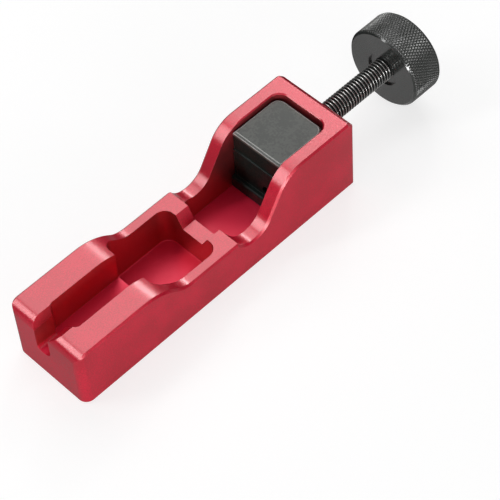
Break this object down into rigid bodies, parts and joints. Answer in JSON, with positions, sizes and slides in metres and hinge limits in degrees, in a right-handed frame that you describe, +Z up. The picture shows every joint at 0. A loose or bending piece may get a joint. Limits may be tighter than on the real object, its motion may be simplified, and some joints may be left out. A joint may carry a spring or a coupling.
{
  "type": "spark plug gap tool",
  "caption": "Hand tool with a machined red body that seats a spark plug, and a black sliding block pushed at the plug's electrode by a knurled thumbscrew.",
  "frame": {"origin": "middle of the body's flat underside", "axes": "+X along the body from its open front lip towards the thumbscrew's knob, +Z up out of the pockets"},
  "size_m": [0.1641, 0.032, 0.0333],
  "materials": {
    "red_aluminium": "satin red anodised",
    "black_aluminium": "satin black anodised",
    "black_steel": "black oxide",
    "pin_steel": "ground"
  },
  "bodies": {
    "housing": {"body": "red_aluminium"},
    "slider": {"sliding_block": "black_aluminium", "retaining_pin": "pin_steel"},
    "thumbscrew": {"screw": "black_steel", "knob": "black_aluminium"}
  },
  "joints": [
    {"name": "block_slide", "type": "slide", "parent": "housing", "child": "slider", "axis": [-1, 0, 0], "range_m": [-0.0006, 0.02]},
    {"name": "screw_turn", "type": "hinge", "parent": "slider", "child": "thumbscrew", "pos_m": [0.091, 0, 0.0183], "axis": [-1, 0, 0], "range_deg": [-180, 5790]}
  ],
  "couplings": [
    {"joint": "screw_turn", "follows": "block_slide", "rad_per_m": 5026.5}
  ]
}
